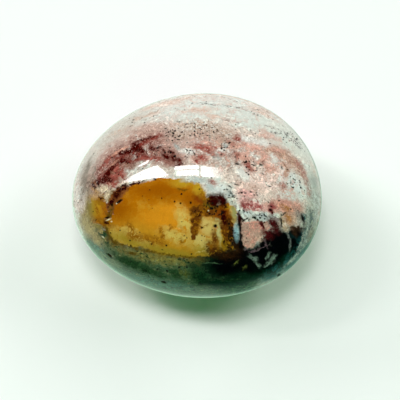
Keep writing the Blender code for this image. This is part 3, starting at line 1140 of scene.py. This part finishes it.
MAROON_GRAINS = [
    *vein(3.2, (128, 186), (121, 188), (118, 192), (115, 198)),
    *vein(1.5, (129, 184.5), (136, 183.5), (144, 181.5)),
    (106.5, 222.5, 2, 1.5, 1.4), (215, 201.5, 3.5, 2.5, 3.4), (98, 184, 2, 4, 1.4),
    (94, 187, 1, 5, 1.2), (100.5, 198.5, 2, 1.5, 1.3), (213, 199, 5, 1.5, 5.4),
    (222, 200, 3, 7, 4.6), (225, 206, 2, 1.5, 1.6), (213, 203, 4, 1, 2.4), (218, 198, 3, 3, 3),
    (224, 214, 1.6, 4, 1.8), (239, 217, 1, 5, 2.4), (224, 219, 1.6, 6, 2.2),
    (111.5, 202, 3, -3, 2.4),
]
BLUE_BAND = [(196, 180, 11, 0.6, 2.6), (210, 187, 3.4, 5, 2.8), (229, 194, 3.5, 2, 3)]
GLINT_EDGE = vein(1.6, (240, 224), (240.5, 232), (241, 241), (241, 248))
# painted shade: the seven pits are darkened inside, together with a few soot-black dots of the rock
PIT_SHADE_AND_DARK_DOTS = [
    (109.8, 255.2, 2.2, 1.6, 1), (167, 271, 1.3, 0.6, 0.8), (164, 282, 2.4, 0.5, 0.9),
    (278.6, 274.8, 1.8, -1.2, 1.6), (215.3, 226, 1.8, 0, 1.8), (180.5, 203.3, 1, 0, 0.9),
    (190.7, 202.7, 1, 0, 1.3), (154.5, 178.6, 1.7, 1.5, 1.1), (130, 240.5, 0.9, 0, 0.8),
    (130.7, 245.5, 0.7, 0, 0.9), (119.5, 201.6, 2.8, -2.2, 1), (107.5, 217.5, 2.4, -0.8, 0.9),
    (112, 205, 1, 0, 1.4),
]
SCRATCH = vein(0.5, (204, 263.3), (211, 262.6), (219, 263.6))
SPARKLES = [
    (116.5, 203.4, 0.6, 0, 0.6), (108.5, 219.6, 2.2, -0.9, 0.6), (111.5, 221.5, 0.8, 0, 0.6),
    (103, 237, 1.2, 0.9, 0.5), (208.4, 210.6, 0.7, 0, 0.6),
]

colour = paint(
    colour,
    (LOBE_OLIVE, LOBE_EDGE, ragged, 1.0),
    (FADED_HONEY, [(95, 196, 5, -1, 2.4), (96, 191.5, 3, 3, 2)], ragged, 1.0),
    (ROCK_RED, GAP_ROCK, ragged, 0.3),
    (CREAM, GAP_CREAM, ragged, 0.8, grains, 0.38, 0.46),
    (TONGUE_BROWN, TONGUE, grainy, 0.3),
    (UMBER, TONGUE, grainy, 0.3, patches, 0.42, 0.5),
    (SOOT_AND_PIT_SHADE, [(199, 212, 8, 1, 6), (194, 222, 3, 3, 3)], grainy, 0.8, grains, 0.5, 0.58),
    (UMBER, BROWN_STREAKS, ragged, 0.8, grains, 0.34, 0.46),
    (STAIN, MOSSY_STAINS, ragged, 0.8, grains, 0.4, 0.48),
    (DARK_OLIVE, LOWER_LINE, ragged, 0.8, grains, 0.34, 0.48),
    (BARK, [(214, 199.5, 6, 2.5, 4.5), (222, 201, 3, 5, 4)], ragged, 0.8),
    (MAROON, MAROON_GRAINS, ragged, 0.5, grains, 0.36, 0.44),
    (PALE_BLUE, BLUE_BAND, frayed, 0.8),
    (INK, GLINT_EDGE, grainy, 0.6),
    (GLINT_BLUE, [(236.4, 232.4, 0.4, 8, 2.5)], spot, 0.6),
    # painted shade in the pits, and soot-black dots
    (SOOT_AND_PIT_SHADE, PIT_SHADE_AND_DARK_DOTS, spot, 0.5),
    # painted highlight: glints of small crystals by the pits
    (SPARKLE_CREAM, SPARKLES, spot, 0.9),
    (GREY_MOSS, SCRATCH, grainy, 0.9),
)

# %% [markdown]
# Specks and grain
#
# The polish has cut through thousands of tiny dark grains. They come from a Voronoi pattern: a
# speck shows where a place is close to the middle of its cell, and a random number for each cell
# decides whether the cell has a speck at all. Bodies say where the specks are dense. Over all of it
# lies a fine grain, a little lighter and a little darker, which is fainter in the pale places and
# hardly there in the clear amber.

# %% Scatter the specks
SPECK_DARK = (0.004, 0.005, 0.004)
SPECK_CORE = 0.7  # of its radius, where a speck is at its darkest


def specks(place, gap, radius, share):
    """Dots with a radius in millimetres, in that share of the cells that are a gap apart."""
    cells = {"Vector": place, "Scale": 1 / gap}
    near = place.make("ShaderNodeTexVoronoi", inputs=cells, output="Distance")
    random = place.make("ShaderNodeTexVoronoi", inputs=cells, output="Color")
    lot = random.make("ShaderNodeSeparateColor", inputs={"Color": random}, output="Red")
    return ramp(near, radius / gap, SPECK_CORE * radius / gap) * ramp(share - lot, -0.01, 0.01)


DENSE_SPECKS = [
    (203, 131, 22, 2, 7), (190, 155, 8, 1, 6), (225, 145, 7, 5, 6), (254, 166, 14, 3, 6),
    (294, 140, 12, 10, 5), (296, 184, 6, 12, 6), (247, 194, 8, 2, 4), (230, 194, 6, 7, 5),
    (256, 216, 10, 2, 4), (170, 134, 10, 3, 5), (217, 208, 12, 6, 8), (230, 232, 4, 14, 5),
    (172, 153, 8, 3, 3),
]
RIM_DASHES = [
    *vein(0.9, (266, 126), (281, 130), (292, 136), (301, 145)),
    *vein(0.9, (272, 132), (284, 135), (294, 141), (302, 150)),
    *vein(0.8, (198, 103), (222, 105), (244, 109), (262, 117)),
]
density = ramp(spread(frayed, DENSE_SPECKS), 0.3, 0.8)
colour = paint(colour, (SPECK_DARK, RIM_DASHES, ragged, 0.8, grains, 0.52, 0.56))
colour = blend(specks(grainy, 0.62, 0.28, density * 0.46 + 0.025), colour, SPECK_DARK)
colour = blend(specks(frayed, 1.2, 0.46, density * 0.30 + 0.012), colour, SPECK_DARK)

# %% Add the grain
GRAIN_DARK = (0.55, 0.46, 0.44)
GRAIN_LIGHT = (1.6, 1.63, 1.63)
GRAIN_IN_AMBER = 0.15
FAINTER_WHEN_PALE = 0.6

outside = ramp(spread(calm, AMBER_OUTLINE), 0.62, 0.5)
rough = outside * 0.8 + GRAIN_IN_AMBER
pale_places = CROWN_PALE + LEFT_BEIGE + RIGHT_RIM + WHITE_PATCHES
still = ramp(spread(calm, pale_places), 0.3, 0.6) * -FAINTER_WHEN_PALE + 1.0
flecks = noise(torn, 0.9, 4.0, 0.7)
colour = blend(ramp(flecks, 0.53, 0.62) * rough * still, colour, GRAIN_DARK, "MULTIPLY")
colour = blend(ramp(flecks, 0.48, 0.38) * rough * still, colour, GRAIN_LIGHT, "MULTIPLY")
finish.node_tree.links.new(colour.socket, shader.inputs["Base Color"])
print("the finish has", len(finish.node_tree.nodes), "nodes")

# %% [markdown]
# Handing over
#
# The stone rides on the part's only body and takes the place of the plain solid.

# %% Hand over
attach(stone, "root")
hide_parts("palm_stone")
